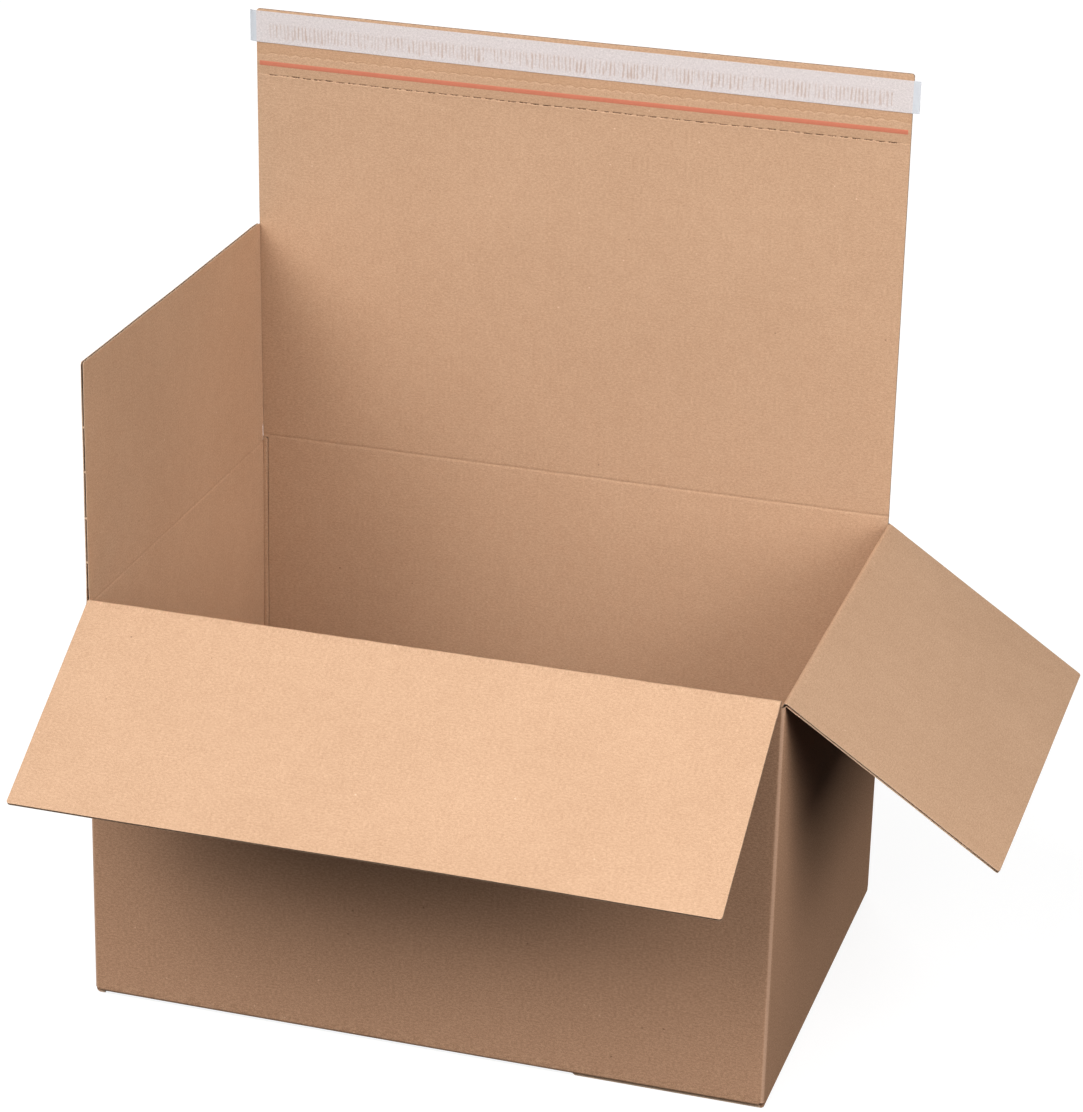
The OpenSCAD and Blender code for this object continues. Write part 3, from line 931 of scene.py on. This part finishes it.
def lid_bands(n, s, cut_shade, colour):
    """The facing is a little deeper in colour above the scallops and darker between the dashes and the tape.
    The dashed cuts get painted shade.
    """
    scallop, dash, tape = (LID_LEN - at for at in (SCALLOP_LINE, DASH_LINE, THREAD_MID))
    above_scallops = n.ramp(s, scallop - 0.15, scallop + 0.15)
    upper = n.math("MULTIPLY", above_scallops, n.ramp(s, LID_LEN - 4, LID_LEN - 3, 1, 0))
    above_dashes = n.ramp(s, dash - 0.1, dash + 0.2)
    lower = n.math("MULTIPLY", above_dashes, n.ramp(s, tape - 0.3, tape + 0.3, 1, 0))
    colour = n.mix(n.math("MULTIPLY", upper, 0.11), colour, (0.38, 0.16, 0.04, 1))
    colour = n.mix(n.math("MULTIPLY", lower, 0.13), colour, (0.26, 0.15, 0.08, 1))
    # Painted shade: the dashed cuts are darkened in patches, standing in for the shade inside the slits.
    flutes = n.ramp(n.noise(n.place(), 1.1, 2, 0.6), 0.4, 0.52)
    cut = n.math("MULTIPLY", n.ramp(cut_shade, 0.25, 0.6), flutes)
    return n.mix(n.math("MULTIPLY", cut, 0.9), colour, (0.10, 0.06, 0.035, 1))


def cut_edge():
    """Cut edges of the facings: paler, with torn fibres."""
    n = Nodes("cut_edge")
    place = n.place()
    fuzz = n.noise(place, 2.3, 3, 0.7)
    colour = n.mix(fuzz, (0.42, 0.27, 0.17, 1), (0.80, 0.62, 0.47, 1))
    n.link(colour, n.shader.inputs["Base Color"])
    n.shader.inputs["Roughness"].default_value = 0.92
    n.bump(fuzz, 0.0001, 0.6)
    return n.material


def fluted_sheet():
    """The darker recycled paper of the flutes."""
    n = Nodes("fluted_sheet")
    place = n.place()
    grain = n.noise(place, 1.1, 4, 0.7)
    colour = n.mix(grain, (0.13, 0.08, 0.05, 1), (0.30, 0.19, 0.12, 1))
    n.link(colour, n.shader.inputs["Base Color"])
    n.shader.inputs["Roughness"].default_value = 0.9
    n.bump(grain, 0.0001, 0.5)
    return n.material


def adhesive_marks(n, place, u, x):
    """How strongly the adhesive shows through the liner: upright strokes with ragged ends, in patches."""
    fine = n.node("ShaderNodeCombineXYZ")
    n.link(u, fine.inputs[0])
    n.link(n.math("MULTIPLY", x, 0.12), fine.inputs[1])
    ragged = n.noise(fine.outputs[0], 0.75, 2, 0.7)
    along = n.vector_math("MULTIPLY", place, (1.0, 0.15, 0.0))
    drift = n.math("MULTIPLY", n.noise(along, 0.09, 2, 0.6), 14.0)
    rows = n.math("SINE", n.math("ADD", n.math("MULTIPLY", u, 2 * math.pi / STROKE_PITCH), drift))
    strokes = n.ramp(n.math("MULTIPLY_ADD", rows, 0.14, ragged), 0.46, 0.70)
    patches = n.ramp(n.noise(place, 0.05, 2, 0.5), 0.3, 0.6, 0.45, 1)
    height = n.math("ADD", x, n.math("MULTIPLY_ADD", ragged, 6.0, -3.0))
    span = n.math("MULTIPLY", n.ramp(height, -6.2, -4.6), n.ramp(height, 0.8, 3.2, 1, 0))
    reach = n.math("MULTIPLY", n.ramp(u, LID_ENDS[0] + 4, LID_ENDS[0] + 10),
                   n.ramp(u, LID_ENDS[1] - 9.5, LID_ENDS[1] - 10.5))
    return n.math("MULTIPLY", n.math("MULTIPLY", strokes, span), n.math("MULTIPLY", patches, reach))


def liner_paper(name, bare):
    """Thin siliconed paper: greyish white, a little see-through, with tan strokes where the adhesive is."""
    n = Nodes(name)
    place = n.place()
    split = n.node("ShaderNodeSeparateXYZ")
    n.link(place, split.inputs[0])
    u, x = split.outputs[0], split.outputs[1]
    paper = n.noise(place, 0.9, 4, 0.7)
    fleck = n.noise(place, 2.6, 2, 0.8)
    blend = n.math("MULTIPLY_ADD", fleck, 0.6, n.math("MULTIPLY", paper, 0.4))
    white = n.mix(n.ramp(blend, 0.35, 0.65), (0.52, 0.475, 0.47, 1), (0.72, 0.67, 0.66, 1))
    clear = n.mix(paper, (0.52, 0.54, 0.575, 1), (0.63, 0.65, 0.68, 1))
    if bare:
        colour = clear
    else:
        marks = adhesive_marks(n, place, u, x)
        colour = n.mix(n.math("MULTIPLY", marks, 0.75), white, (0.47, 0.35, 0.295, 1))
        colour = n.mix(n.ramp(u, LID_ENDS[1] - 0.2, LID_ENDS[1] + 0.2), colour, clear)
    n.link(colour, n.shader.inputs["Base Color"])
    n.shader.inputs["Roughness"].default_value = 0.5
    n.shader.inputs["Specular IOR Level"].default_value = 0.45
    n.bump(paper, 0.00005, 0.5)
    return n.material


def red_tape():
    """The tear tape's red film, with its colour slightly uneven."""
    n = Nodes("red_tape")
    place = n.place()
    wear_and_highlight = n.noise(place, 0.5, 4, 0.7)
    colour = n.mix(wear_and_highlight, (0.50, 0.185, 0.115, 1), (0.59, 0.23, 0.15, 1))
    n.link(colour, n.shader.inputs["Base Color"])
    n.shader.inputs["Roughness"].default_value = 0.6
    n.shader.inputs["Specular IOR Level"].default_value = 0.3
    n.bump(wear_and_highlight, 0.00006, 0.5)
    return n.material


def hot_melt():
    """The adhesive: tan and a little glossy."""
    n = Nodes("hot_melt")
    place = n.place()
    cloud = n.noise(place, 0.7, 3, 0.6)
    colour = n.mix(cloud, (0.50, 0.35, 0.22, 1), (0.66, 0.50, 0.35, 1))
    n.link(colour, n.shader.inputs["Base Color"])
    n.shader.inputs["Roughness"].default_value = 0.25
    n.bump(cloud, 0.0001, 0.4)
    return n.material


def floor_paint():
    """The floor glows, so that it is as pale as the photograph's ground and still takes a soft shadow."""
    n = Nodes("floor_paint")
    where = n.node("ShaderNodeTexCoord").outputs["Object"]
    mottle = n.noise(where, 1.3, 3, 0.5)
    colour = n.mix(mottle, (0.195, 0.195, 0.195, 1), (0.205, 0.205, 0.205, 1))
    n.link(colour, n.shader.inputs["Base Color"])
    n.shader.inputs["Emission Color"].default_value = (1, 1, 1, 1)
    n.shader.inputs["Emission Strength"].default_value = FLOOR_GLOW
    n.shader.inputs["Roughness"].default_value = 0.9
    n.shader.inputs["Specular IOR Level"].default_value = 0.1
    return n.material


# The setting

def photo_camera():
    """The photograph's view, from a fit of the carton's corners: degrees, millimetres and pixels."""
    image_h = 1112
    focal_px = 3707.4
    azimuth, elevation, roll = (math.radians(a) for a in (-16.29, 22.70, -1.46))
    target = np.array([0, 0, 108.5])
    offset = np.array([-22.52, 102.23, 1908.48])
    ahead = np.array([math.sin(azimuth) * math.cos(elevation), math.cos(azimuth) * math.cos(elevation),
                      -math.sin(elevation)])
    right = np.array([math.cos(azimuth), -math.sin(azimuth), 0])
    down = np.cross(ahead, right)
    turned_right = math.cos(roll) * right + math.sin(roll) * down
    turned_down = -math.sin(roll) * right + math.cos(roll) * down
    axes = np.stack([turned_right, turned_down, ahead])
    place = target - axes.T @ offset
    data = bpy.data.cameras.new("photo_camera")
    data.sensor_width = 36
    data.lens = focal_px / image_h * data.sensor_width
    data.clip_start, data.clip_end = 0.05, 50
    camera = bpy.data.objects.new("photo_camera", data)
    camera.matrix_world = Matrix([
        [*(turned_right[i], -turned_down[i], -ahead[i]), place[i] * MM] for i in range(3)
    ] + [[0, 0, 0, 1]])
    bpy.context.scene.collection.objects.link(camera)
    bpy.context.scene.camera = camera


# Lights: the way each comes from (0 is the front, positive to the right) and its height, in degrees;
# its distance and the side of its square, in metres; its power in watts
LIGHTS = (
    ("high_light", -20, 50, 4.5, 2.6, 106),
    ("left_light", -40, 38, 4.5, 2.6, 109),
    ("low_left_light", -45, 12, 4.5, 2.6, 34),
    ("low_right_light", 60, 22, 4.5, 2.6, 106),
    ("near_right_light", 50, 38, 1.6, 1.0, 11),
    ("back_light", 200, 6, 4.5, 2.6, 115),
)
LIGHT_AIM = Vector((0, 0, 0.2))
FLOOR_SIZE = 24
FLOOR_DROP = 0.0005
FLOOR_GLOW = 0.87
WORLD_STRENGTH = 0.05
CONTRAST_GAMMA = 0.85


def soft_light(name, azimuth, elevation, distance, side, power):
    """A square light that faces the carton."""
    data = bpy.data.lights.new(name, "AREA")
    data.shape = "SQUARE"
    data.size = side
    data.energy = power
    light = bpy.data.objects.new(name, data)
    a, e = math.radians(azimuth), math.radians(elevation)
    way = Vector((math.sin(a) * math.cos(e), -math.cos(a) * math.cos(e), math.sin(e)))
    light.location = LIGHT_AIM + way * distance
    light.rotation_mode = "QUATERNION"
    light.rotation_quaternion = (-way).to_track_quat("-Z", "Y")
    bpy.context.scene.collection.objects.link(light)


def studio():
    """The white surroundings, the lights and the floor, and how bright values are shown."""
    world = bpy.data.worlds.new("studio")
    world.use_nodes = True
    background = world.node_tree.nodes["Background"]
    background.inputs["Color"].default_value = (1, 1, 1, 1)
    background.inputs["Strength"].default_value = WORLD_STRENGTH
    bpy.context.scene.world = world
    for light in LIGHTS:
        soft_light(*light)
    bpy.ops.mesh.primitive_plane_add(size=FLOOR_SIZE, location=(0, 0, -FLOOR_DROP))
    floor = bpy.context.active_object
    floor.name = "studio_floor"
    floor.data.materials.append(floor_paint())
    floor.visible_diffuse = False
    floor.visible_glossy = False
    view = bpy.context.scene.view_settings
    view.view_transform = "Standard"
    view.gamma = CONTRAST_GAMMA


# The whole

photo_camera()
studio()
SHARED = [cut_edge(), fluted_sheet(), kraft_facing("kraft_outside", wear_and_highlight=True, tint=OUTER_PAPER_AND_SHADE_TINT, coarse=2.1)]
PLAIN = [kraft_facing("kraft_inside")] + SHARED
BANDED = [kraft_facing("kraft_inside_lid", bands=True)] + SHARED
walls(PLAIN)
bottom(PLAIN)
lid_panel(BANDED)
for flap in ("front_flap", "left_flap", "right_flap"):
    flap_panel(flap, PLAIN)
for flap in ENDS:
    crease(flap, PLAIN)
tear_thread(red_tape())
adhesive(hot_melt())
release_liner(liner_paper("liner_paper", False), liner_paper("liner_paper_end", True))
